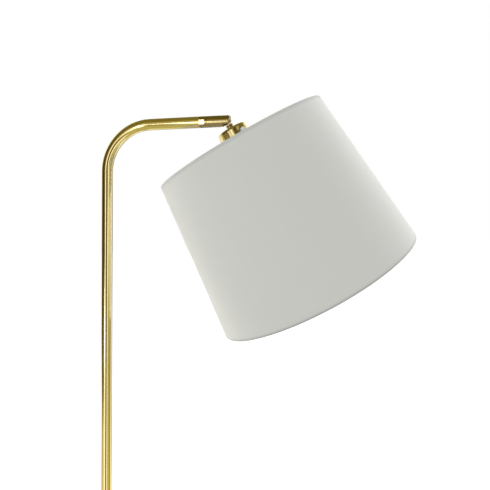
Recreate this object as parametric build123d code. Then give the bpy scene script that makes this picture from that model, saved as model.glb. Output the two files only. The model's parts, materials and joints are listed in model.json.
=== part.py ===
from build123d import *
import math
import os

# Arc floor lamp: a round weighted base, a straight pole in three screwed
# sections whose top one bends over into a short level arm, a swivelling and
# tilting knuckle, and a head with a metal cup, a lampholder, a turn switch,
# a bulb and a hard-backed fabric shade.
# Millimetres. +Z is up, the pole's axis is x = y = 0, the floor is z = 0 and
# the arm points along +X.

os.makedirs("parts", exist_ok=True)

# ---------------------------------------------------------------- dimensions
# stand
base_r = 130.0            # base cover's outer radius
cover_wall = 1.2
cover_top = 17.2          # height of the cover's flat top
cover_edge = 1.0          # the cover's skirt stops this far above the floor
pad_r = 124.0
pad_thick = 2.0
weight_r = 126.0
weight_top = cover_top - cover_wall
recess_r = 22.0           # recess for the base nut, open to the underside
recess_top = 12.0
groove_w = 10.0           # cord groove from the recess to the rear edge
gland_z = 7.0
gland_bore_r = 3.0        # for a round two-core cord
gland_hole_r = 4.0

# pole and arm
tube_r = 8.0
tube_wall = 1.2
tube_in = tube_r - tube_wall
seam_low = 515.0          # where the lower tube meets the middle one
seam_high = 1000.0        # where the middle tube meets the upper one
arm_z = 1530.0            # arm's centreline
bend_r = 66.0             # bend's centreline radius
tube_end_x = 141.2        # where the tube stops on the arm
insert_len = 18.0
nipple_r = 4.8            # M10 x 1 all-thread
nipple_bore = 3.4
nipple_half = 15.0

# swivel collar and knuckle, along the arm
seam_x = 151.8            # swivel seam between the collar and the knuckle
flats = 14.8              # across the collar's spanner flats
flats_end_x = 148.6
spigot_x = 127.0          # inner end of the collar's threaded spigot
journal_r = 3.70          # knuckle's journal, running in the collar
journal_hole_r = 3.76
journal_end_x = 120.5
wire_bore = 2.4
pivot_x = 180.0
knuckle_end_x = pivot_x + 5.3
slot_w = 5.0
slot_x = 172.0            # closed end of the fork's slot
ear_flat = 6.2            # flat milled under the ears, from the centreline
ear_flat_x = 174.4
bevel = 4.3               # bevel's distance from the pivot
bevel_angle = 47.8
pin_r = 2.00
pin_hole_r = 2.06
rest_roll = 12.4          # turn of the head about the arm in the rest pose
rest_tilt = 27.7          # lean of the head's axis from vertical, outward

# head, t measured from the pivot along the head's axis
tongue_r = 6.2
tongue_w = 4.0
shoulder_t = 6.8
shoulder_r = 5.25
stem_r = 4.9
cup_t = 12.5              # top of the cup
cup_end_t = 46.0
cup_top_r = 21.3
cup_end_r = 24.2
cup_wall = 1.0
knob_t = 24.5             # switch axis
knob_azimuth = -48.0      # its direction about the head's axis
knob_r = 4.3
knob_hole_r = 4.9
knob_in = 19.4
knob_out = 27.5
shaft_r = 2.20
shaft_hole_r = 2.26
rim_t = 36.0              # shade's top rim plane
shade_h = 228.6
shade_top_r = 127.0
shade_end_r = 152.4
fabric_thick = 0.6
liner_thick = 0.7
wire_r = 1.25             # shade's wire rings and spider arms
bulb_r = 30.0
bulb_c = 115.0            # centre of the bulb's globe
neck_t = 65.0             # where the globe's neck meets its screw base


# ------------------------------------------------------------------ helpers
def cyl(r, z0, z1):
    return Pos(0, 0, (z0 + z1) / 2) * Cylinder(r, z1 - z0)


def ring(r_out, r_in, z0, z1):
    return cyl(r_out, z0, z1) - cyl(r_in, z0 - 1, z1 + 1)


def turned(points, down=False):
    """Solid of revolution about Z. points are (r, z) or (r, z, corner radius);
    with down=True the second value is measured downward."""
    n = len(points)
    s = -1.0 if down else 1.0
    pts = [Vector(p[0], 0, s * p[1]) for p in points]
    corners = []
    for i, p in enumerate(points):
        here, a, b = pts[i], pts[i - 1], pts[(i + 1) % n]
        rad = p[2] if len(p) > 2 else 0.0
        if rad <= 0:
            corners.append((here, here, None))
            continue
        u, v = (a - here).normalized(), (b - here).normalized()
        half = math.acos(max(-1.0, min(1.0, u.dot(v)))) / 2
        d = rad / math.tan(half)
        bis = (u + v).normalized()
        mid = here + bis * (rad / math.sin(half) - rad)
        corners.append((here + u * d, here + v * d, mid))
    edges = []
    for i in range(n):
        p1, p2, mid = corners[i]
        if mid is not None:
            edges.append(ThreePointArc(p1, mid, p2))
        q = corners[(i + 1) % n][0]
        if (q - p2).length > 1e-6:
            edges.append(Line(p2, q))
    return revolve(Face(Wire(edges)), Axis.Z, 360)


def along_x(shape):
    """Turns a piece built about Z so that +Z becomes +X."""
    return Rot(0, 90, 0) * shape


def hex_nut(flats_mm, r_hole, z0, z1):
    prism = extrude(RegularPolygon(flats_mm / 2, 6, major_radius=False), z1 - z0)
    return Pos(0, 0, z0) * prism - cyl(r_hole, z0 - 1, z1 + 1)


def save(shape, name):
    export_step(shape, "parts/" + name + ".step")


arm = Location((0, 0, arm_z))
knuckle_at = arm * Rot(rest_roll, 0, 0)
head_at = Pos(pivot_x, 0, arm_z) * Rot(rest_roll, 0, 0) * Rot(0, -rest_tilt, 0)
knob_at = head_at * Pos(0, 0, -knob_t) * Rot(0, 0, knob_azimuth)

# --------------------------------------------------------------------- base
save(turned([(0, 0), (pad_r, 0), (pad_r, pad_thick), (0, pad_thick)]), "base_pad")

weight = turned([(nipple_r + 0.5, pad_thick), (weight_r, pad_thick, 1.0),
                 (weight_r, weight_top, 3.0), (nipple_r + 0.5, weight_top)])
weight -= cyl(recess_r, pad_thick - 1, recess_top)
weight -= Pos(-weight_r / 2 - 5, 0, (recess_top + pad_thick - 1) / 2) * Box(
    weight_r + 10, groove_w, recess_top - pad_thick + 1)
save(weight, "base_weight")

cover = turned([
    (nipple_r + 0.3, cover_top), (base_r, cover_top, 4.0), (base_r, cover_edge, 0.4),
    (base_r - cover_wall, cover_edge, 0.4), (base_r - cover_wall, weight_top, 2.8),
    (nipple_r + 0.3, weight_top)])
cover -= Pos(-base_r, 0, gland_z) * Rot(0, 90, 0) * Cylinder(gland_hole_r, 12)
save(cover, "base_cover")

gland = along_x(turned([
    (gland_bore_r, -5.6), (3.95, -5.6), (4.7, -4.4), (4.7, -3.5), (3.95, -3.5),
    (3.95, -1.9), (5.6, -1.9, 0.4), (5.6, -0.2, 0.7), (4.6, 0.9, 0.5),
    (gland_bore_r, 0.9, 0.4)]))
save(Pos(-base_r - 2.1, 0, gland_z) * Rot(0, 0, 180) * gland, "cord_gland")

save(ring(14.0, nipple_r + 0.1, recess_top - 1.5, recess_top), "base_washer")
save(hex_nut(14.0, nipple_r, recess_top - 5.5, recess_top - 1.5), "base_nut")
save(ring(nipple_r, nipple_bore, recess_top - 6.0, cover_top + nipple_half), "base_nipple")

# --------------------------------------------------------------------- pole
save(ring(tube_r, tube_in, cover_top, seam_low), "lower_tube")
save(ring(tube_r, tube_in, seam_low, seam_high), "middle_tube")


def insert(z0, z1):
    return ring(tube_in, nipple_r, z0, z1)


save(insert(cover_top, cover_top + insert_len), "lower_tube_foot_insert")
save(insert(seam_low - insert_len, seam_low), "lower_tube_top_insert")
save(insert(seam_low, seam_low + insert_len), "middle_tube_foot_insert")
save(insert(seam_high - insert_len, seam_high), "middle_tube_top_insert")
save(insert(seam_high, seam_high + insert_len), "upper_tube_foot_insert")
save(ring(nipple_r, nipple_bore, seam_low - nipple_half, seam_low + nipple_half),
     "lower_joint_nipple")
save(ring(nipple_r, nipple_bore, seam_high - nipple_half, seam_high + nipple_half),
     "upper_joint_nipple")

bend_z = arm_z - bend_r
annulus = Pos(0, 0, bend_z) * (Circle(tube_r) - Circle(tube_in))
bend = revolve(annulus, Axis((bend_r, 0, bend_z), (0, 1, 0)), 90)
upper = (ring(tube_r, tube_in, seam_high, bend_z) + bend
         + arm * along_x(ring(tube_r, tube_in, bend_r, tube_end_x)))
save(upper, "upper_tube")

# ------------------------------------------------------------ swivel collar
collar = turned([
    (journal_hole_r, spigot_x), (tube_in, spigot_x, 0.5), (tube_in, tube_end_x),
    (tube_r, tube_end_x), (tube_r, seam_x, 0.35), (journal_hole_r, seam_x)])
collar = along_x(collar)
for side in (-1, 1):
    collar -= Pos((tube_end_x + flats_end_x) / 2, side * (flats / 2 + 5), 0) * Box(
        flats_end_x - tube_end_x, 10, 20)
save(knuckle_at * collar, "swivel_collar")

# ------------------------------------------------------------------ knuckle
body = along_x(turned([
    (wire_bore, journal_end_x), (journal_r, journal_end_x, 0.4),
    (journal_r, seam_x + 0.15), (tube_r, seam_x + 0.15, 0.35),
    (tube_r, knuckle_end_x, 2.6), (wire_bore, knuckle_end_x)]))
body -= Pos((slot_x + 200) / 2, 0, 0) * Box(200 - slot_x, slot_w, 20)
relief = Polygon((ear_flat_x - 1.0, -tube_r - 0.6), (ear_flat_x + 1.8, -ear_flat),
                 (200, -ear_flat), (200, -20), (ear_flat_x - 1.0, -20), align=None)
body -= extrude(Plane.XZ * relief, 12, both=True)
body -= (Pos(pivot_x, 0, 0) * Rot(0, bevel_angle, 0) * Pos(bevel + 10, 0, 0)
         * Box(20, 20, 30))
body -= Pos(pivot_x, 0, 0) * Rot(-90, 0, 0) * cyl(pin_r, -5.8, 9)
body -= Pos(pivot_x, 0, 0) * Rot(-90, 0, 0) * cyl(3.4, 5.6, 9)
save(knuckle_at * body, "knuckle_body")

save(knuckle_at * along_x(ring(5.7, journal_r + 0.1, spigot_x - 1.6, spigot_x - 0.1)),
     "swivel_spring_washer")
save(knuckle_at * along_x(hex_nut(10.0, journal_r, spigot_x - 5.6, spigot_x - 1.6)),
     "swivel_nut")

screw = cyl(pin_r, -5.6, 5.6) + turned([
    (0, 5.6), (3.3, 5.6), (3.3, 7.0, 0.4), (0, 7.0)])
screw -= Pos(0, 0, 7.0) * Box(8, 0.8, 1.4)
save(knuckle_at * Pos(pivot_x, 0, 0) * Rot(-90, 0, 0) * screw, "pivot_screw")

washer = ring(5.0, pin_hole_r, 2.05, 2.45)
pair = Compound(children=[Rot(-90, 0, 0) * washer, Rot(90, 0, 0) * washer])
save(knuckle_at * Pos(pivot_x, 0, 0) * pair, "friction_washers")

# --------------------------------------------------------------- tilt lever
lever = Rot(90, 0, 0) * Cylinder(tongue_r, tongue_w)
lever += Pos(0, 0, -3.6) * Box(8.4, tongue_w, 7.2)
lever += turned([
    (0, shoulder_t), (shoulder_r, shoulder_t, 0.45), (shoulder_r, 8.8, 0.45), (4.6, 8.8),
    (4.6, cup_t), (stem_r, cup_t), (stem_r, 22.0, 0.4), (0, 22.0)], down=True)
lever -= Rot(90, 0, 0) * Cylinder(pin_hole_r, 20)
lever -= cyl(2.6, -23, -9.4)
lever -= Pos(-4, 0, -10.7) * Rot(0, 90, 0) * Cylinder(1.5, 8)
save(head_at * lever, "tilt_lever")

# ---------------------------------------------------------------------- cup
cup = turned([
    (stem_r + 0.1, cup_t), (cup_top_r, cup_t, 3.6), (cup_end_r, cup_end_t, 0.4),
    (cup_end_r - cup_wall, cup_end_t, 0.4), (cup_top_r - cup_wall + 0.1, cup_t + 1.2, 2.5),
    (stem_r + 0.1, cup_t + 1.2)], down=True)
cup -= Pos(0, 0, -knob_t) * Rot(0, 0, knob_azimuth) * Rot(0, 90, 0) * cyl(knob_hole_r, 15, 30)
save(head_at * cup, "socket_cup")
save(head_at * hex_nut(14.0, stem_r, -17.7, -13.7), "cup_lock_nut")

# -------------------------------------------------------------- lampholder
cap = turned([
    (stem_r, 17.8), (8.6, 17.8, 0.5), (8.6, 20.0), (16.4, 20.0, 1.0), (18.4, 22.4, 1.0),
    (18.4, 33.0), (16.6, 33.0), (16.6, 23.6, 0.8), (15.0, 22.0), (stem_r, 22.0)],
    down=True)
cap -= Pos(0, 0, -knob_t) * Rot(0, 0, knob_azimuth) * Rot(0, 90, 0) * cyl(2.7, 10, 25)
save(head_at * cap, "lampholder_cap")

barrel = turned([
    (3.4, 33.1), (18.4, 33.1), (18.4, 47.6), (21.6, 47.6, 0.4), (21.6, 49.8, 0.4),
    (19.6, 49.8), (19.6, 66.0, 0.6), (14.4, 66.0, 0.6), (14.4, 35.6), (3.4, 35.6)],
    down=True)
save(head_at * barrel, "lampholder_barrel")

shell = turned([
    (5.0, 35.8), (13.9, 35.8, 0.5), (13.9, 61.0, 0.3), (13.4, 61.0), (13.4, 36.3, 0.3),
    (5.0, 36.3)], down=True)
save(head_at * shell, "screw_shell")

contact = Pos(0, 0, -36.0) * Box(5.0, 3.0, 0.6)
contact += Pos(0, 0, -33.9) * Box(3.0, 2.0, 4.0)
save(head_at * contact, "centre_contact")

switch = Pos(8.3, 0, -1.8) * Box(9.0, 13.0, 8.0)
switch -= Rot(0, 90, 0) * cyl(shaft_hole_r, 3.0, 14.0)
save(knob_at * switch, "switch_body")

knob = Rot(0, 90, 0) * turned([
    (0, 5.0), (shaft_r, 5.0, 0.3), (shaft_r, knob_in), (knob_r - 0.2, knob_in, 0.4),
    (knob_r, knob_out, 0.9), (0, knob_out)])
for i in range(14):
    a = 2 * math.pi * i / 14
    knob -= Rot(0, 90, 0) * (Pos((knob_r + 0.35) * math.cos(a), (knob_r + 0.35)
                             * math.sin(a), (knob_in + 1.6 + 40) / 2)
                             * Cylinder(0.6, 40 - knob_in - 1.6))
save(knob_at * knob, "switch_knob")

shade_ring = turned([
    (19.6, 52.2), (23.3, 52.2, 0.5), (23.3, 58.0, 0.8), (19.6, 58.0)], down=True)
for i in range(24):
    a = 2 * math.pi * i / 24
    shade_ring -= Pos(23.6 * math.cos(a), 23.6 * math.sin(a), -55.4) * Cylinder(0.8, 3.6)
save(head_at * shade_ring, "shade_ring")

# --------------------------------------------------------------------- bulb
bulb_cap = turned([
    (0, 36.6), (4.2, 36.6, 0.6), (4.6, 38.2), (9.0, 38.6), (13.0, 41.0, 0.8), (13.0, 61.6),
    (13.0, neck_t), (0, neck_t)], down=True)
save(head_at * bulb_cap, "bulb_base")


def globe(radius, neck_r, t):
    d = math.hypot(neck_r, bulb_c - t)
    a = math.atan2(neck_r, bulb_c - t) + math.acos(radius / d)
    tangent = (radius * math.sin(a), bulb_c - radius * math.cos(a))
    arc_mid = math.radians(180) / 2 + a / 2
    mid = (radius * math.sin(arc_mid), bulb_c - radius * math.cos(arc_mid))
    return (neck_r, t), tangent, mid, (0.0, bulb_c + radius)


def at(p):
    return Vector(p[0], 0, -p[1])


o = [at(p) for p in globe(bulb_r, 13.6, neck_t)]
n = [at(p) for p in globe(bulb_r - 1.0, 12.6, neck_t)]
outline = Wire([
    Line(n[0], o[0]), Line(o[0], o[1]), ThreePointArc(o[1], o[2], o[3]), Line(o[3], n[3]),
    ThreePointArc(n[3], n[2], n[1]), Line(n[1], n[0])])
save(head_at * revolve(Face(outline), Axis.Z, 360), "bulb_globe")

# -------------------------------------------------------------------- shade
slope = (shade_end_r - shade_top_r) / shade_h
end_t = rim_t + shade_h


def out_r(t):
    return shade_top_r + (t - rim_t) * slope


def cone_shell(t0, t1, skin0, skin1):
    return turned([
        (out_r(t0) - skin0, t0), (out_r(t1) - skin0, t1), (out_r(t1) - skin1, t1),
        (out_r(t0) - skin1, t0)], down=True)


skin = fabric_thick + liner_thick
save(head_at * cone_shell(rim_t + 0.6, end_t - 0.6, 0.0, fabric_thick), "shade_fabric")
save(head_at * cone_shell(rim_t + 0.6, end_t - 0.6, fabric_thick, skin), "shade_liner")

top_wire_r = out_r(rim_t + 2.0) - skin - wire_r - 0.1
top_wire_t = rim_t + 0.75 + wire_r
save(head_at * Pos(0, 0, -top_wire_t) * Torus(top_wire_r, wire_r), "shade_top_wire")
hub_t = 51.0
spider = turned([(20.0, hub_t - 1.1), (25.2, hub_t - 1.1, 0.4), (25.2, hub_t + 1.1, 0.4),
                  (20.0, hub_t + 1.1)], down=True)
arm_dr, arm_dt = top_wire_r - 24.0, top_wire_t + 0.6 - hub_t
arm_angles = (90, 210, 330)


def spider_arm(radius):
    lean = 90 + math.degrees(math.atan2(arm_dt, arm_dr))
    return (Pos(24.0, 0, -hub_t) * Rot(0, lean, 0)
            * cyl(radius, 0, math.hypot(arm_dr, arm_dt)))


for angle in arm_angles:
    spider += Rot(0, 0, angle) * spider_arm(wire_r)
save(head_at * spider, "shade_spider")

low_wire_t = end_t - 0.75 - wire_r
low_wire_r = out_r(low_wire_t) - skin - wire_r - 0.1
save(head_at * Pos(0, 0, -low_wire_t) * Torus(low_wire_r, wire_r), "shade_bottom_wire")

flap = top_wire_r - wire_r - 0.1
top_binding = turned([
    (shade_top_r, rim_t, 0.25), (flap - 0.5, rim_t, 1.0), (flap - 0.5, rim_t + 4.6, 0.2),
    (flap, rim_t + 4.6), (flap, rim_t + 0.5, 0.5), (shade_top_r, rim_t + 0.5)], down=True)
for angle in arm_angles:
    top_binding -= Rot(0, 0, angle) * spider_arm(wire_r + 0.25)
save(head_at * top_binding, "shade_top_binding")
flap = low_wire_r - wire_r - 0.1
save(head_at * turned([
    (shade_end_r, end_t - 0.5), (flap, end_t - 0.5, 0.5), (flap, end_t - 4.6),
    (flap - 0.5, end_t - 4.6, 0.2), (flap - 0.5, end_t, 1.0), (shade_end_r, end_t, 0.25)],
    down=True), "shade_bottom_binding")
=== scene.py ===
import bpy
import bmesh
import json
import math
import random
import numpy as np
from mathutils import Matrix, Vector


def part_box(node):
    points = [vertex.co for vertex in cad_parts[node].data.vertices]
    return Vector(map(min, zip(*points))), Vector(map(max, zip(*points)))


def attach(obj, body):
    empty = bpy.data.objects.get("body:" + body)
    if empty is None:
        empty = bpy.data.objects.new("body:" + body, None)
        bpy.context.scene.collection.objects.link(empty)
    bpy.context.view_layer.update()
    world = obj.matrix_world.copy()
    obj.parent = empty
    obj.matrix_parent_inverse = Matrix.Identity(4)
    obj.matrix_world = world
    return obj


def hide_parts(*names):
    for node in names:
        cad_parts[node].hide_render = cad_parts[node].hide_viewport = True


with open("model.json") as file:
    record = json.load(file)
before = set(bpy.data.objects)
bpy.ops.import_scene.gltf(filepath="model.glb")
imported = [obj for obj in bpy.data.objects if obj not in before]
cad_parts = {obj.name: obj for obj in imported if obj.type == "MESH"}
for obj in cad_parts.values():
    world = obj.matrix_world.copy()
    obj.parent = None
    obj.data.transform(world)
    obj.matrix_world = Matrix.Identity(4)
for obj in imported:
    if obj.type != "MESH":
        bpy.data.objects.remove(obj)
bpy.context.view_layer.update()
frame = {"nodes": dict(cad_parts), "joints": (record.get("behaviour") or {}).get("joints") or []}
nodes = frame["nodes"]
scene = bpy.context.scene
rng = random.Random(7)

# ------------------------------------------------------------------ camera
arm_lo, arm_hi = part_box("swivel_collar")
arm_z = (arm_lo.z + arm_hi.z) / 2
cam_data = bpy.data.cameras.new("camera")
cam = bpy.data.objects.new("camera", cam_data)
scene.collection.objects.link(cam)
cam_data.sensor_width = 36.0
cam_data.lens = 491.68 / 490.0 * 36.0
cam_data.clip_start, cam_data.clip_end = 0.02, 1000.0
cam.location = (0.3290, -0.67455, arm_z - 0.18302)
cam.rotation_euler = (math.radians(90) + 0.0120, 0.0, 0.1801)
scene.camera = cam

# ----------------------------------------------------- the head's own frame
def points(name):
    return np.array([v.co for v in nodes[name].data.vertices], float)


joints = {j["name"]: j for j in frame["joints"]}
pivot = Vector(joints["head_tilt"]["pos_m"])
top_c = Vector(points("shade_top_wire").mean(0))
low_c = Vector(points("shade_bottom_wire").mean(0))
down = (low_c - top_c).normalized()
side = -Vector(joints["head_tilt"]["axis"]).normalized()     # across the fork, away from the camera
side = (side - side.dot(down) * down).normalized()
outward = side.cross(-down).normalized()
# local x = outward, y = side, z = up the head's axis; t = -z
HEAD = Matrix((
    (outward.x, side.x, -down.x, pivot.x),
    (outward.y, side.y, -down.y, pivot.y),
    (outward.z, side.z, -down.z, pivot.z),
    (0, 0, 0, 1)))


def head_rt(name):
    p = points(name) - np.array(pivot)
    t = p @ np.array(down)
    r = np.linalg.norm(p - np.outer(t, np.array(down)), axis=1)
    return r, t


fab_r, fab_t = head_rt("shade_fabric")
T0, T1 = float(fab_t.min()) - 0.0006, float(fab_t.max()) + 0.0006
R0 = float(fab_r[fab_t < fab_t.min() + 1e-4].max())
R1 = float(fab_r[fab_t > fab_t.max() - 1e-4].max())
SLOPE = (R1 - R0) / (float(fab_t.max()) - float(fab_t.min()))


def shade_r(t):
    return R0 + (t - float(fab_t.min())) * SLOPE


# -------------------------------------------------------------- node tools
class Mat:
    """A node material with short helpers."""

    def __init__(self, name):
        self.m = bpy.data.materials.new(name)
        self.m.use_nodes = True
        self.t = self.m.node_tree
        self.n = self.t.nodes
        self.n.clear()
        self.out = self.n.new("ShaderNodeOutputMaterial")
        self.bsdf = self.n.new("ShaderNodeBsdfPrincipled")
        self.link(self.bsdf.outputs[0], self.out.inputs["Surface"])

    def link(self, a, b):
        self.t.links.new(a, b)

    def new(self, kind, **props):
        node = self.n.new(kind)
        for k, v in props.items():
            setattr(node, k, v)
        return node

    def put(self, socket, value):
        if isinstance(value, bpy.types.NodeSocket):
            self.link(value, socket)
        else:
            socket.default_value = value

    def math(self, op, a, b=0.0, c=0.0, clamp=False):
        node = self.new("ShaderNodeMath", operation=op, use_clamp=clamp)
        for i, v in enumerate((a, b, c)):
            self.put(node.inputs[i], v)
        return node.outputs[0]

    def mix(self, fac, a, b, blend="MIX"):
        node = self.new("ShaderNodeMix", data_type="RGBA", blend_type=blend)
        self.put(node.inputs[0], fac)
        for i, c in ((6, a), (7, b)):
            self.put(node.inputs[i], (*c, 1) if isinstance(c, tuple) and len(c) == 3 else c)
        return node.outputs[2]

    def ramp(self, fac, stops, interpolation="LINEAR"):
        node = self.new("ShaderNodeValToRGB")
        node.color_ramp.interpolation = interpolation
        e = node.color_ramp.elements
        while len(e) < len(stops):
            e.new(0.5)
        for el, (p, c) in zip(e, stops):
            el.position = p
            el.color = c if len(c) == 4 else (*c, 1)
        self.put(node.inputs[0], fac)
        return node.outputs[0]

    def range(self, v, a, b, c, d):
        node = self.new("ShaderNodeMapRange", clamp=True)
        self.put(node.inputs[0], v)
        for i, x in enumerate((a, b, c, d)):
            node.inputs[i + 1].default_value = x
        return node.outputs[0]

    def coords(self, scale=(1, 1, 1), rot=(0, 0, 0), kind="Object"):
        tc = self.new("ShaderNodeTexCoord")
        mp = self.new("ShaderNodeMapping")
        self.link(tc.outputs[kind], mp.inputs[0])
        mp.inputs["Scale"].default_value = scale
        mp.inputs["Rotation"].default_value = rot
        return mp.outputs[0]

    def noise(self, vec, scale, detail=3.0, rough=0.5, distort=0.0):
        node = self.new("ShaderNodeTexNoise")
        self.put(node.inputs["Vector"], vec)
        node.inputs["Scale"].default_value = scale
        node.inputs["Detail"].default_value = detail
        node.inputs["Roughness"].default_value = rough
        node.inputs["Distortion"].default_value = distort
        return node.outputs[0]

    def bump(self, height, strength, distance, normal=None):
        node = self.new("ShaderNodeBump")
        node.inputs["Strength"].default_value = strength
        node.inputs["Distance"].default_value = distance
        self.link(height, node.inputs["Height"])
        if normal is not None:
            self.link(normal, node.inputs["Normal"])
        return node.outputs[0]

    def set(self, **kw):
        names = {"color": "Base Color", "metal": "Metallic", "rough": "Roughness",
                 "ior": "IOR", "aniso": "Anisotropic", "coat": "Coat Weight",
                 "coat_rough": "Coat Roughness", "sheen": "Sheen Weight",
                 "sheen_rough": "Sheen Roughness", "normal": "Normal",
                 "trans": "Transmission Weight", "sss": "Subsurface Weight",
                 "sss_scale": "Subsurface Scale", "spec": "Specular IOR Level",
                 "alpha": "Alpha"}
        for k, v in kw.items():
            if isinstance(v, tuple) and len(v) == 3:
                v = (*v, 1)
            self.put(self.bsdf.inputs[names[k]], v)
        return self


def srgb(h):
    c = [int(h[i:i + 2], 16) / 255 for i in (0, 2, 4)]
    return tuple(x / 12.92 if x <= 0.04045 else ((x + 0.055) / 1.055) ** 2.4 for x in c)


# --------------------------------------------------------------- materials
BRASS = (0.86, 0.75, 0.43)
BRASS_DEEP = (0.80, 0.675, 0.34)


def brass(name, grain=(1, 1, 60), rot=(0, 0, 0), rough=0.13, base=BRASS, deep=BRASS_DEEP,
          coat=0.12, brushed=0.06, wear=True):
    """Lacquered satin brass: brushing lines along one direction, faint tarnish
    clouds, handling smudges in the roughness and brighter worn edges."""
    m = Mat(name)
    v = m.coords(grain, rot)
    lines = m.noise(v, 900, 4, 0.6)
    broad = m.noise(v, 160, 3, 0.55)
    cloud = m.noise(m.coords(), 22, 4, 0.55, 0.4)
    smudge = m.noise(m.coords(), 55, 3, 0.6, 0.8)
    tone = m.math("MULTIPLY_ADD", cloud, 0.75, m.math("MULTIPLY", broad, 0.35))
    col = m.mix(m.range(tone, 0.30, 0.85, 0, 1), deep, base)
    col = m.mix(m.math("MULTIPLY", m.range(lines, 0.35, 0.7, 0, 1), 0.10), col,
                (min(1, base[0] * 1.12), min(1, base[1] * 1.14), min(1, base[2] * 1.3), 1))
    if wear:
        geo = m.new("ShaderNodeNewGeometry")
        edge = m.range(geo.outputs["Pointiness"], 0.54, 0.62, 0, 0.5)
        col = m.mix(edge, col, (0.88, 0.76, 0.42, 1))
    r = m.math("MULTIPLY_ADD", m.range(lines, 0.3, 0.7, 0, 1), 0.02,
               m.math("MULTIPLY_ADD", m.range(smudge, 0.4, 0.75, 0, 1), 0.05, rough - 0.03))
    n = m.bump(lines, brushed, 0.00001)
    m.set(color=col, metal=1.0, rough=r, normal=n, coat=coat, coat_rough=0.08)
    return m.m


def steel(name, tint=(0.60, 0.60, 0.58), rough=0.32, scale=1.0):
    m = Mat(name)
    v = m.coords((1, 1, 14))
    lines = m.noise(v, 500 * scale, 4, 0.6)
    spangle = m.new("ShaderNodeTexVoronoi")
    m.link(m.coords(), spangle.inputs["Vector"])
    spangle.inputs["Scale"].default_value = 320 * scale
    col = m.mix(m.math("MULTIPLY", spangle.outputs["Distance"], 0.5), tint,
                tuple(x * 0.72 for x in tint) + (1,))
    r = m.math("MULTIPLY_ADD", lines, 0.22, rough - 0.1)
    m.set(color=col, metal=1.0, rough=r, normal=m.bump(lines, 0.25, 0.00004))
    return m.m


def plastic(name, color, rough=0.42, grain=0.25, scale=2400, spec=0.5):
    """Moulded plastic: fine spark-eroded grain and soft flow clouds."""
    m = Mat(name)
    v = m.coords()
    fine = m.noise(v, scale, 3, 0.6)
    cloud = m.noise(v, 35, 3, 0.5)
    dark = tuple(x * 0.86 for x in color) + (1,)
    col = m.mix(m.range(cloud, 0.35, 0.7, 0, 0.6), (*color, 1), dark)
    r = m.math("MULTIPLY_ADD", fine, 0.16, m.math("MULTIPLY_ADD", cloud, 0.08, rough - 0.12))
    m.set(color=col, rough=r, normal=m.bump(fine, grain, 0.00003), spec=spec)
    return m.m


def cast(name):
    m = Mat(name)
    v = m.coords()
    grit = m.noise(v, 900, 5, 0.7)
    pits = m.new("ShaderNodeTexVoronoi")
    m.link(v, pits.inputs["Vector"])
    pits.inputs["Scale"].default_value = 260
    col = m.mix(m.range(grit, 0.35, 0.7, 0, 1), (0.018, 0.018, 0.019, 1), (0.055, 0.05, 0.045, 1))
    h = m.math("ADD", grit, m.math("MULTIPLY", pits.outputs["Distance"], 0.6))
    m.set(color=col, rough=m.range(grit, 0.3, 0.7, 0.55, 0.85), metal=0.3,
          normal=m.bump(h, 0.6, 0.0004))
    return m.m


def foam(name):
    m = Mat(name)
    v = m.coords()
    cells = m.new("ShaderNodeTexVoronoi")
    m.link(v, cells.inputs["Vector"])
    cells.inputs["Scale"].default_value = 700
    fine = m.noise(v, 1500, 4, 0.7)
    col = m.mix(m.range(cells.outputs["Distance"], 0.1, 0.7, 0, 1), (0.012, 0.012, 0.013, 1),
                (0.04, 0.04, 0.042, 1))
    m.set(color=col, rough=m.range(fine, 0.3, 0.7, 0.8, 0.97),
          normal=m.bump(cells.outputs["Distance"], 0.5, 0.0004))
    return m.m


def weave_height(m, uv_name, pitch):
    """Plain weave from a flat map in metres: crossing threads of that pitch, with uneven spacing
    and a random value for each thread."""
    uv = m.new("ShaderNodeUVMap", uv_map=uv_name)
    sep = m.new("ShaderNodeSeparateXYZ")
    m.link(uv.outputs[0], sep.inputs[0])
    big = m.new("ShaderNodeMapping")
    m.link(uv.outputs[0], big.inputs[0])
    wob_u = m.noise(uv.outputs[0], 70, 2, 0.5)
    wob_v = m.noise(big.outputs[0], 90, 2, 0.5)
    big.inputs["Location"].default_value = (3.1, 1.7, 0)
    u = m.math("MULTIPLY_ADD", wob_u, pitch * 1.6, sep.outputs[0])
    v = m.math("MULTIPLY_ADD", wob_v, pitch * 1.6, sep.outputs[1])
    a = m.math("DIVIDE", u, pitch)
    b = m.math("DIVIDE", v, pitch)
    sa = m.math("SINE", m.math("MULTIPLY", a, math.pi))
    sb = m.math("SINE", m.math("MULTIPLY", b, math.pi))
    over = m.math("MULTIPLY_ADD", m.math("MULTIPLY", sa, sb), 0.5, 0.5)
    h = m.math("ADD", m.math("MULTIPLY", m.math("ABSOLUTE", sa), over),
               m.math("MULTIPLY", m.math("ABSOLUTE", sb), m.math("SUBTRACT", 1.0, over)))
    wa = m.new("ShaderNodeTexWhiteNoise", noise_dimensions="1D")
    m.link(m.math("FLOOR", a), wa.inputs["W"])
    wb = m.new("ShaderNodeTexWhiteNoise", noise_dimensions="1D")
    m.link(m.math("ADD", m.math("FLOOR", b), 517.0), wb.inputs["W"])
    thread = m.math("ADD", m.math("MULTIPLY", wa.outputs["Value"], over),
                    m.math("MULTIPLY", wb.outputs["Value"], m.math("SUBTRACT", 1.0, over)))
    return h, thread, uv.outputs[0]


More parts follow.
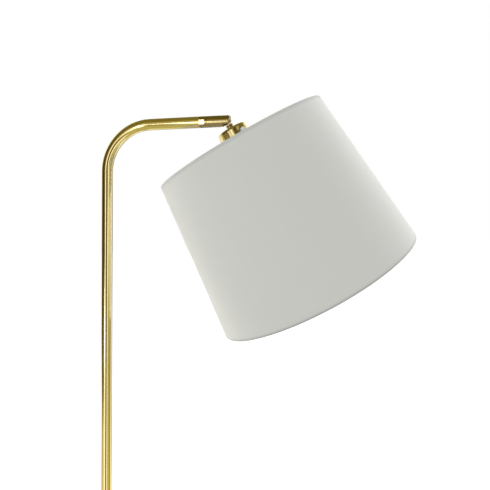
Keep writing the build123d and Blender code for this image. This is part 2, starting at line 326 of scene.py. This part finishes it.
def fabric(name, color, shade, pitch=0.00042, sheen=0.12, rough=0.86, bump=0.45):
    m = Mat(name)
    h, thread, uv = weave_height(m, "flat_m", pitch)
    slub = m.new("ShaderNodeMapping")
    m.link(uv, slub.inputs[0])
    slub.inputs["Scale"].default_value = (60, 900, 1)
    slubs = m.noise(slub.outputs[0], 1.0, 2, 0.5)
    cloud = m.noise(uv, 9, 4, 0.55)
    fuzz = m.noise(uv, 5200, 3, 0.7)
    # painted shade: the low hollows between threads are painted darker
    col = m.mix(m.math("MULTIPLY", m.math("SUBTRACT", 1.0, h), 0.55), (*color, 1), (*shade, 1))
    col = m.mix(m.math("MULTIPLY", thread, 0.20), col, (*(x * 0.9 for x in color), 1))
    col = m.mix(m.range(slubs, 0.62, 0.8, 0, 0.25), col, (*(min(1, x * 1.06) for x in color), 1))
    col = m.mix(m.range(cloud, 0.35, 0.75, 0, 0.10), col, (*shade, 1))
    # painted shade: darker bands are painted along the top and bottom edges where the cloth turns
    # over its rings, deepest and widest along the bottom
    along = m.new("ShaderNodeSeparateXYZ")
    m.link(uv, along.inputs[0])
    top = m.math("ABSOLUTE", along.outputs[1])
    low = m.math("ABSOLUTE", m.math("SUBTRACT", along.outputs[1], SLANT))
    col = m.mix(1.0, col, m.ramp(m.range(top, 0.0, 0.012, 0, 1), [
        (0.0, (0.76,) * 3), (0.16, (0.77,) * 3), (0.26, (0.83,) * 3), (0.40, (0.89,) * 3),
        (0.52, (0.97,) * 3), (0.60, (1.0,) * 3)]), "MULTIPLY")
    col = m.mix(1.0, col, m.ramp(m.range(low, 0.0, 0.012, 0, 1), [
        (0.0, (0.58,) * 3), (0.14, (0.58,) * 3), (0.22, (0.66,) * 3), (0.32, (0.81,) * 3),
        (0.42, (0.92,) * 3), (0.54, (1.0,) * 3)]), "MULTIPLY")
    total = m.math("ADD", h, m.math("ADD", m.math("MULTIPLY", slubs, 0.5),
                                    m.math("MULTIPLY", fuzz, 0.35)))
    r = m.math("MULTIPLY_ADD", fuzz, 0.12, rough - 0.06)
    m.set(color=col, rough=r, normal=m.bump(total, bump, 0.00010), sheen=sheen,
          sheen_rough=0.45, spec=0.25)
    return m.m


def knob_painted_light_material():
    """Pale grey moulding with painted light: painted shade on the lower face, grading to a painted
    highlight along the upper outer edge.
    """
    m = Mat("grey_knob_plastic_painted_light")
    v = m.coords()
    lo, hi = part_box("switch_knob")
    mid = [(a + b) / 2 for a, b in zip(lo, hi)]
    sep = m.new("ShaderNodeSeparateXYZ")
    m.link(v, sep.inputs[0])
    across = m.math("ADD", m.math("MULTIPLY", m.math("SUBTRACT", sep.outputs[0], mid[0]), 0.88),
                    m.math("MULTIPLY", m.math("SUBTRACT", sep.outputs[2], mid[2]), 0.47))
    fine = m.noise(v, 2600, 3, 0.6)
    cloud = m.noise(v, 60, 3, 0.5)
    # painted light: dark painted shade on one side of the knob grades to a pale painted highlight
    # on the other
    edge = m.range(m.math("MULTIPLY_ADD", fine, 0.0006, across), 0.0006, 0.0042, 0, 1)
    col = m.mix(edge, (0.235, 0.24, 0.235, 1), (0.90, 0.90, 0.91, 1))
    col = m.mix(m.range(cloud, 0.35, 0.7, 0, 0.3), col, (0.30, 0.30, 0.30, 1))
    m.set(color=col, rough=m.math("MULTIPLY_ADD", fine, 0.14, 0.32),
          normal=m.bump(fine, 0.2, 0.00003), spec=0.5)
    return m.m


M_tube = brass("brushed_brass_tube", grain=(1, 1, 0.02), rough=0.12,
               wear=False, brushed=0.02)
M_arm_fit = brass("turned_brass_fitting", grain=(0.02, 1, 1), rough=0.11,
                  base=(0.47, 0.385, 0.20), deep=(0.41, 0.325, 0.15))
# painted shade: the lever's brass gets a much darker colour, standing for the shadow inside the
# fork
M_lever_painted_shade = brass("brass_lever_painted_shade", grain=(1, 1, 0.05), rough=0.18,
                base=(0.32, 0.26, 0.13), deep=(0.26, 0.20, 0.09))
M_cup = brass("spun_brass_cup", grain=(1, 1, 1), rough=0.20,
              base=(0.78, 0.67, 0.36), deep=(0.71, 0.59, 0.28))
M_base = brass("satin_brass_cover", grain=(1, 1, 1), rough=0.22, brushed=0.12)
M_zinc = steel("zinc_plated_steel")
M_knob_painted_light = knob_painted_light_material()
M_contact = brass("bare_contact_brass", grain=(1, 1, 1), rough=0.34, coat=0.0)
M_iron = cast("black_cast_iron")
M_foam = foam("closed_cell_foam")
M_nylon = plastic("black_nylon", (0.022, 0.022, 0.024), 0.45)
M_phenolic = plastic("white_phenolic", (0.76, 0.74, 0.69), 0.36, 0.15)
M_wire = plastic("white_powder_coat", (0.80, 0.79, 0.75), 0.5, 0.5, 1400)
SLANT = math.hypot(R1 - R0, T1 - T0) + 0.0036          # apex to apex over the outside
M_fabric = fabric("shade_cotton", (0.825, 0.832, 0.79), (0.70, 0.705, 0.66))


def liner_material():
    m = Mat("shade_laminate")
    uv = m.new("ShaderNodeUVMap", uv_map="flat_m")
    mottle = m.noise(uv.outputs[0], 180, 4, 0.6)
    fine = m.noise(uv.outputs[0], 2600, 3, 0.6)
    col = m.mix(m.range(mottle, 0.35, 0.7, 0, 0.5), (0.86, 0.85, 0.81, 1), (0.79, 0.775, 0.72, 1))
    m.set(color=col, rough=m.range(fine, 0.3, 0.7, 0.42, 0.60),
          normal=m.bump(fine, 0.2, 0.00005), spec=0.4)
    return m.m


def bulb_material():
    m = Mat("frosted_glass")
    v = m.coords()
    frost = m.noise(v, 1800, 3, 0.6)
    cloud = m.noise(v, 40, 3, 0.5)
    col = m.mix(m.range(cloud, 0.35, 0.7, 0, 0.4), (0.90, 0.895, 0.87, 1), (0.84, 0.83, 0.79, 1))
    m.set(color=col, rough=m.range(frost, 0.3, 0.7, 0.16, 0.30),
          normal=m.bump(frost, 0.08, 0.00003), coat=0.3, coat_rough=0.12, spec=0.55,
          sss=0.25, sss_scale=0.004)
    m.bsdf.inputs["Subsurface Radius"].default_value = (1.0, 0.95, 0.85)
    return m.m


M_liner = liner_material()
M_bulb = bulb_material()
M_cap = steel("bulb_cap_aluminium", (0.74, 0.74, 0.73), 0.30)

by_node = {
    M_tube: ["lower_tube", "middle_tube", "upper_tube"],
    M_base: ["base_cover"],
    M_iron: ["base_weight"], M_foam: ["base_pad"], M_nylon: ["cord_gland"],
    M_arm_fit: ["swivel_collar", "knuckle_body", "pivot_screw"],
    M_lever_painted_shade: ["tilt_lever"],
    M_cup: ["socket_cup"],
    M_zinc: ["base_washer", "base_nut", "base_nipple", "lower_tube_foot_insert",
             "lower_tube_top_insert", "middle_tube_foot_insert", "middle_tube_top_insert",
             "upper_tube_foot_insert", "lower_joint_nipple", "upper_joint_nipple",
             "swivel_spring_washer", "swivel_nut", "cup_lock_nut", "friction_washers"],
    M_contact: ["screw_shell", "centre_contact"],
    M_knob_painted_light: ["switch_knob"],
    M_phenolic: ["lampholder_cap", "lampholder_barrel", "switch_body", "shade_ring"],
    M_wire: ["shade_spider", "shade_top_wire", "shade_bottom_wire"],
    M_cap: ["bulb_base"], M_bulb: ["bulb_globe"],
    M_fabric: ["shade_fabric", "shade_top_binding", "shade_bottom_binding"],
    M_liner: ["shade_liner"],
}
for mat, names in by_node.items():
    for name in names:
        data = nodes[name].data
        data.materials.clear()
        data.materials.append(mat)


# --------------------------------------------------------- mesh construction
def mesh_piece(name, verts, faces, mat, body, slot, uvs=None, local=HEAD, smooth=True):
    me = bpy.data.meshes.new(name)
    me.from_pydata([tuple(local @ Vector(v)) for v in verts], [], faces)
    me.validate()
    if uvs is not None:
        layer = me.uv_layers.new(name="flat_m")
        for poly in me.polygons:
            us = [uvs[i] for i in poly.vertices]
            wrap = max(u[0] for u in us) - min(u[0] for u in us)
            for li, vi in zip(poly.loop_indices, poly.vertices):
                u, v = uvs[vi]
                if wrap > UV_WRAP / 2 and u < UV_WRAP / 2:
                    u += UV_WRAP
                layer.data[li].uv = (u, v)
    bm = bmesh.new()
    bm.from_mesh(me)
    bmesh.ops.recalc_face_normals(bm, faces=bm.faces)
    bm.to_mesh(me)
    bm.free()
    for p in me.polygons:
        p.use_smooth = smooth
    me.materials.append(mat)
    ob = bpy.data.objects.new(name, me)
    scene.collection.objects.link(ob)
    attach(ob, body)
    return ob


UV_WRAP = 2 * math.pi * (R0 + R1) / 2


def lathe(profile, segments, wobble=None, closed=True):
    """Sweeps a closed (r, t, v) profile round the head's axis; wobble(a, r, t, i)
    returns a shift in r and t."""
    verts, uvs, faces = [], [], []
    n = len(profile)
    for s in range(segments):
        a = 2 * math.pi * s / segments
        for i, (r, t, v) in enumerate(profile):
            dr, dt = wobble(a, r, t, i) if wobble else (0.0, 0.0)
            rr, tt = r + dr, t + dt
            verts.append((rr * math.cos(a), rr * math.sin(a), -tt))
            uvs.append((UV_WRAP * s / segments, v))
    rows = n if closed else n - 1
    for s in range(segments):
        s2 = (s + 1) % segments
        for i in range(rows):
            j = (i + 1) % n
            faces.append((s * n + i, s * n + j, s2 * n + j, s2 * n + i))
    return verts, faces, uvs


SEG = 240
SEAM = math.pi / 2            # the overlap seam faces local +Y, the far side


def seam_lift(a):
    """Height of the lapped seam: one sheet's folded end lies over the other."""
    d = (a - SEAM + math.pi) % (2 * math.pi) - math.pi
    w = d * (R0 + R1) / 2
    if -0.009 < w < 0.0:
        return 0.00055 * min(1.0, (w + 0.009) / 0.0006)
    if 0.0 <= w < 0.002:
        return 0.00055 * (1 - w / 0.002)
    return 0.0


def ripple(a, t):
    """Slow unevenness of the hand-rolled laminate."""
    k = (t - T0) / (T1 - T0)
    return (0.00022 * math.sin(3 * a + 1.1 + 1.7 * k) + 0.00016 * math.sin(5 * a - 0.7 + 3 * k)
            + 0.00010 * math.sin(11 * a + 4 * k) * math.sin(math.pi * k))


# The cover is one piece of cloth: laminated to the liner, turned over both rings
# and glued down inside. Its line runs up the top turn-in, over the top ring, down
# the outside, round the bottom ring and up the bottom turn-in.
FAB = 0.0006
BEAD = 0.0023                 # half the thickness of the edge, over its ring
TURN_IN = 0.0092
BACK = 0.0020                 # visible face of a turn-in, behind the outside face
ROWS = 44


PROUD = 0.0007                # the cloth over the bottom ring hangs this far below it


def edge_line(t_edge, s):
    """From the turn-in's raw end to the outside face; s is 1 at the top, -1 below."""
    out = []
    for i in range(9):
        d = TURN_IN - (TURN_IN - BEAD) * i / 8
        k = min(1.0, max(0.0, (d - 0.0040) / 0.0024))
        k = k * k * (3 - 2 * k)
        back = 2 * BEAD * (1 - k) + BACK * k
        out.append((shade_r(t_edge + s * d) - back, t_edge + s * d))
    cr = shade_r(t_edge + s * BEAD) - BEAD
    for i in range(1, 13):
        a = math.pi * (1 - i / 12)
        out.append((cr + BEAD * math.cos(a), t_edge + s * BEAD * (1 - math.sin(a))))
    return out


line = edge_line(T0, 1)
TOP_N = len(line)
for i in range(1, ROWS):
    t = T0 + BEAD + (T1 + PROUD - T0 - 2 * BEAD) * i / ROWS
    line.append((shade_r(t) + 0.0004 * (i / ROWS) ** 2, t))
LOW_N = len(line)
line += [(r + 0.0004, t) for r, t in edge_line(T1 + PROUD, -1)[::-1]]
run = [0.0]
for p, q in zip(line, line[1:]):
    run.append(run[-1] + math.hypot(q[0] - p[0], q[1] - p[1]))
apex = TOP_N - 1 - 6
run = [x - run[apex] for x in run]                 # 0 on top of the top ring
V_END = run[LOW_N + 6]                             # under the bottom ring
back = []
for i, p in enumerate(line):
    a, b = line[max(i - 1, 0)], line[min(i + 1, len(line) - 1)]
    dx, dy = b[0] - a[0], b[1] - a[1]
    L = math.hypot(dx, dy)
    back.append((p[0] - dy / L * FAB, p[1] + dx / L * FAB))
profile = [(p[0], p[1], v) for p, v in zip(line, run)]
profile += [(p[0], p[1], v + 0.6) for p, v in zip(back[::-1], run[::-1])]
N_LINE = len(line)
phase = [rng.uniform(0, 6.28) for _ in range(8)]


def cover_wobble(a, r, t, i):
    face = i if i < N_LINE else 2 * N_LINE - 1 - i
    lift = seam_lift(a) if TOP_N - 6 <= face < LOW_N + 6 else 0.0
    near = math.exp(-min(t - T0, T1 - t) / 0.005)
    pucker = near * (0.00007 * math.sin(37 * a + phase[0]) + 0.00005 * math.sin(61 * a + phase[1])
                     + 0.00003 * math.sin(97 * a + phase[2]))
    end = max(0, 3 - face) / 3 if face < N_LINE / 2 else max(0, 3 - (N_LINE - 1 - face)) / 3
    dt = end * (0.0005 * math.sin(17 * a + phase[3]) + 0.0003 * math.sin(41 * a + phase[4]))
    return ripple(a, t) * 0.8 + pucker + lift, dt


UV_V = V_END
skin = mesh_piece("shade_cover", *lathe(profile, 288, cover_wobble)[:2], M_fabric, "head",
                  "shade_fabric", lathe(profile, 288, cover_wobble)[2])
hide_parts("shade_fabric", "shade_top_binding", "shade_bottom_binding")

# laminate liner, with its own lapped joint
lin_r, lin_t = head_rt("shade_liner")
LIN = 0.0006
prof = []
rows = 30
for i in range(rows):
    t = T0 + 0.0024 + (T1 - T0 - 0.0048) * i / (rows - 1)
    prof.append((shade_r(t) - FAB - 0.0001, t, t))
for i in reversed(range(rows)):
    t = T0 + 0.0024 + (T1 - T0 - 0.0048) * i / (rows - 1)
    prof.append((shade_r(t) - FAB - 0.0001 - LIN, t, t + 0.3))


def liner_wobble(a, r, t, i):
    lift = -seam_lift(a + 0.02) * 0.9 if i >= rows else 0.0
    return ripple(a, t) * 0.8 + lift, 0.0


verts, faces, uvs = lathe(prof, SEG, liner_wobble)
liner = mesh_piece("shade_laminate_liner", verts, faces, M_liner, "head", "shade_liner", uvs)
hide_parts("shade_liner")

# ------------------------------------------------------------------- stage
floor_me = bpy.data.meshes.new("floor")
bm = bmesh.new()
bmesh.ops.create_circle(bm, cap_ends=True, segments=96, radius=300.0)
bm.to_mesh(floor_me)
bm.free()
floor = bpy.data.objects.new("floor", floor_me)
floor.location = (0, 0, 0)
scene.collection.objects.link(floor)
fm = Mat("studio_floor")
fn = fm.noise(fm.coords(), 3, 3, 0.5)
fm.set(color=fm.mix(fm.range(fn, 0.3, 0.7, 0, 1), (0.90, 0.90, 0.90, 1), (0.92, 0.92, 0.92, 1)),
       rough=0.9)
fm.bsdf.inputs["Emission Color"].default_value = (1, 1, 1, 1)
fm.bsdf.inputs["Emission Strength"].default_value = 0.52
floor_me.materials.append(fm.m)
floor.visible_glossy = False
floor.visible_diffuse = False

class Sky(Mat):
    """The studio round the object, with the same helpers as a material."""

    def __init__(self, tree):
        self.t = tree
        self.n = tree.nodes
        self.n.clear()


world = bpy.data.worlds.new("studio")
scene.world = world
world.use_nodes = True
sky = Sky(world.node_tree)
ray = sky.new("ShaderNodeTexCoord").outputs["Generated"]
ray_xyz = sky.new("ShaderNodeSeparateXYZ")
sky.link(ray, ray_xyz.inputs[0])
RX, RY, RZ = ray_xyz.outputs
elevation = sky.math("MULTIPLY", sky.math("ARCSINE", RZ), 180 / math.pi)


def smooth(v, a, b, c, d):
    node = sky.new("ShaderNodeMapRange", clamp=True, interpolation_type="SMOOTHSTEP")
    sky.put(node.inputs[0], v)
    for i, x in enumerate((a, b, c, d)):
        node.inputs[i + 1].default_value = x
    return node.outputs[0]


def azimuth_from(a0):
    """Degrees round from the bearing a0, 0 on the -Y side and 90 on +X."""
    ca, sa = math.cos(math.radians(a0)), math.sin(math.radians(a0))
    across = sky.math("ADD", sky.math("MULTIPLY", RX, ca), sky.math("MULTIPLY", RY, sa))
    ahead = sky.math("SUBTRACT", sky.math("MULTIPLY", RX, sa), sky.math("MULTIPLY", RY, ca))
    return sky.math("MULTIPLY", sky.math("ARCTAN2", across, ahead), 180 / math.pi)


def panel(az0, az1, el0, el1, soft_az=3.0, soft_lo=5.0, soft_hi=5.0):
    """1 inside a light panel seen in that direction, 0 outside, soft at its edges."""
    mid, half = (az0 + az1) / 2, (az1 - az0) / 2
    a = sky.math("ABSOLUTE", azimuth_from(mid))
    m_a = smooth(a, half - soft_az, half + soft_az, 1, 0)
    m_lo = smooth(elevation, el0 - soft_lo, el0 + soft_lo, 0, 1)
    m_hi = smooth(elevation, el1 - soft_hi, el1 + soft_hi, 1, 0)
    return sky.math("MULTIPLY", m_a, sky.math("MULTIPLY", m_lo, m_hi))


def glow(color, mask, gain, tint):
    return sky.mix(1.0, color, sky.mix(mask, (0, 0, 0), tuple(gain * t for t in tint)), "ADD")


# what the brass reflects: pale floor below, dark warm ceiling and front, a white
# sweep behind, and two tall front panels with the dark camera side between them
height = sky.range(elevation, -90, 90, 0, 1)
room = sky.ramp(height, [
    (0.00, (0.60, 0.57, 0.30)), (0.22, (0.56, 0.51, 0.23)), (0.30, (0.39, 0.345, 0.12)),
    (0.44, (0.14, 0.10, 0.022)), (0.53, (0.062, 0.038, 0.005)), (0.62, (0.115, 0.088, 0.013)),
    (0.76, (0.22, 0.185, 0.038)), (1.00, (0.22, 0.18, 0.038))])
room = glow(room, panel(-28, -12, -13, -4, 3, 2, 5), 1.7, (1, 1, 0.98))
room = glow(room, panel(-19, -12, -40, -13, 2, 4, 2), 1.7, (1, 1, 0.98))
room = glow(room, panel(-26, -12, 1, 30, 4, 4, 7), 0.42, (1, 0.80, 0.36))
room = glow(room, panel(1, 8, 1, 30, 3, 4, 7), 0.40, (1, 0.94, 0.72))
room = glow(room, panel(-12, 1, -38, 12, 3, 4, 7), 1.15, (1, 1, 0.98))
room = glow(room, panel(-9, 1, 0, 12, 3, 4, 7), 0.7, (1, 1, 0.98))
room = glow(room, panel(-18.5, -14.2, -12, -6.5, 0.8, 1, 1), 6.0, (1, 1, 1))
room = glow(room, panel(-47, -30, -36, -17, 4, 5, 3), 0.80, (1, 0.98, 0.82))
room = glow(room, panel(-64, -30, -36, -17, 8, 5, 3), 0.20, (1, 0.90, 0.60))
room = glow(room, panel(-82, -30, -36, -17, 10, 5, 3), 0.12, (1, 0.85, 0.50))
room = glow(room, panel(31, 43, -60, 3, 3, 8, 5), 1.5, (1, 1, 0.98))
room = glow(room, panel(38, 52, 1, 30, 4, 4, 7), 1.0, (1, 1, 0.96))
room = glow(room, panel(47, 94, -45, 22, 6, 10, 8), 0.36, (1, 0.92, 0.45))
room = glow(room, panel(52, 94, -4, 24, 8, 9, 8), 0.60, (1, 0.97, 0.70))
room = glow(room, panel(114, 156, -50, 38, 7, 10, 12), 1.0, (1, 1, 0.96))
room = glow(room, panel(204, 260, -50, 38, 7, 10, 12), 1.0, (1, 1, 0.96))
room = glow(room, panel(163, 197, 22, 46, 7, 6, 8), 1.0, (1, 1, 0.96))
room = glow(room, panel(163, 197, -50, -24, 7, 10, 6), 1.0, (1, 1, 0.96))
room = glow(room, panel(124, 176, 12, 42, 8, 10, 10), 0.7, (1, 1, 0.96))
room = glow(room, panel(-136, -81, -60, -13, 4, 8, 5), 0.8, (1, 1, 0.96))
seen = sky.new("ShaderNodeBackground")
seen.inputs[0].default_value = (1, 1, 1, 1)
glossy_room = sky.new("ShaderNodeBackground")
sky.link(room, glossy_room.inputs[0])
soft_room = sky.new("ShaderNodeBackground")
sky.link(sky.ramp(sky.range(RZ, -1, 1, 0, 1), [
    (0.0, (0.54, 0.54, 0.53)), (1.0, (0.82, 0.82, 0.82))]), soft_room.inputs[0])
paths = sky.new("ShaderNodeLightPath")
by_gloss = sky.new("ShaderNodeMixShader")
by_sight = sky.new("ShaderNodeMixShader")
sky.link(paths.outputs["Is Glossy Ray"], by_gloss.inputs[0])
sky.link(soft_room.outputs[0], by_gloss.inputs[1])
sky.link(glossy_room.outputs[0], by_gloss.inputs[2])
sky.link(paths.outputs["Is Camera Ray"], by_sight.inputs[0])
sky.link(by_gloss.outputs[0], by_sight.inputs[1])
sky.link(seen.outputs[0], by_sight.inputs[2])
sky_out = sky.new("ShaderNodeOutputWorld")
sky.link(by_sight.outputs[0], sky_out.inputs[0])


def softbox(name, azimuth, elevation, distance, width, height, power, color=(1, 1, 1)):
    """A rectangular soft light aimed at the head. Azimuth 0 stands on the -Y
    side, 90 on the +X side."""
    target = Vector((0.14, 0.0, arm_z - 0.06))
    a, el = math.radians(azimuth), math.radians(elevation)
    back = Vector((math.sin(a) * math.cos(el), -math.cos(a) * math.cos(el), math.sin(el)))
    light = bpy.data.lights.new(name, "AREA")
    light.shape = "RECTANGLE"
    light.size, light.size_y = width, height
    light.energy = power
    light.color = color
    ob = bpy.data.objects.new(name, light)
    ob.location = target + back * distance
    ob.rotation_mode = "QUATERNION"
    ob.rotation_quaternion = back.to_track_quat("Z", "Y")
    scene.collection.objects.link(ob)
    ob.visible_camera = False
    ob.visible_glossy = False
    return ob


softbox("left_front", -60, 5, 2.0, 1.2, 1.2, 6.5)
softbox("left_back", -120, -14, 2.2, 1.2, 1.2, 20.0, color=(1.0, 0.975, 0.90))
softbox("right_back", 134, 14, 2.2, 1.2, 1.4, 31.5, color=(0.965, 0.985, 1.0))
softbox("overhead", 20, 78, 2.4, 2.4, 2.4, 3.0)

scene.view_settings.view_transform = "Standard"
scene.view_settings.look = "None"
scene.view_settings.exposure = 0.0
scene.view_settings.gamma = 1.0
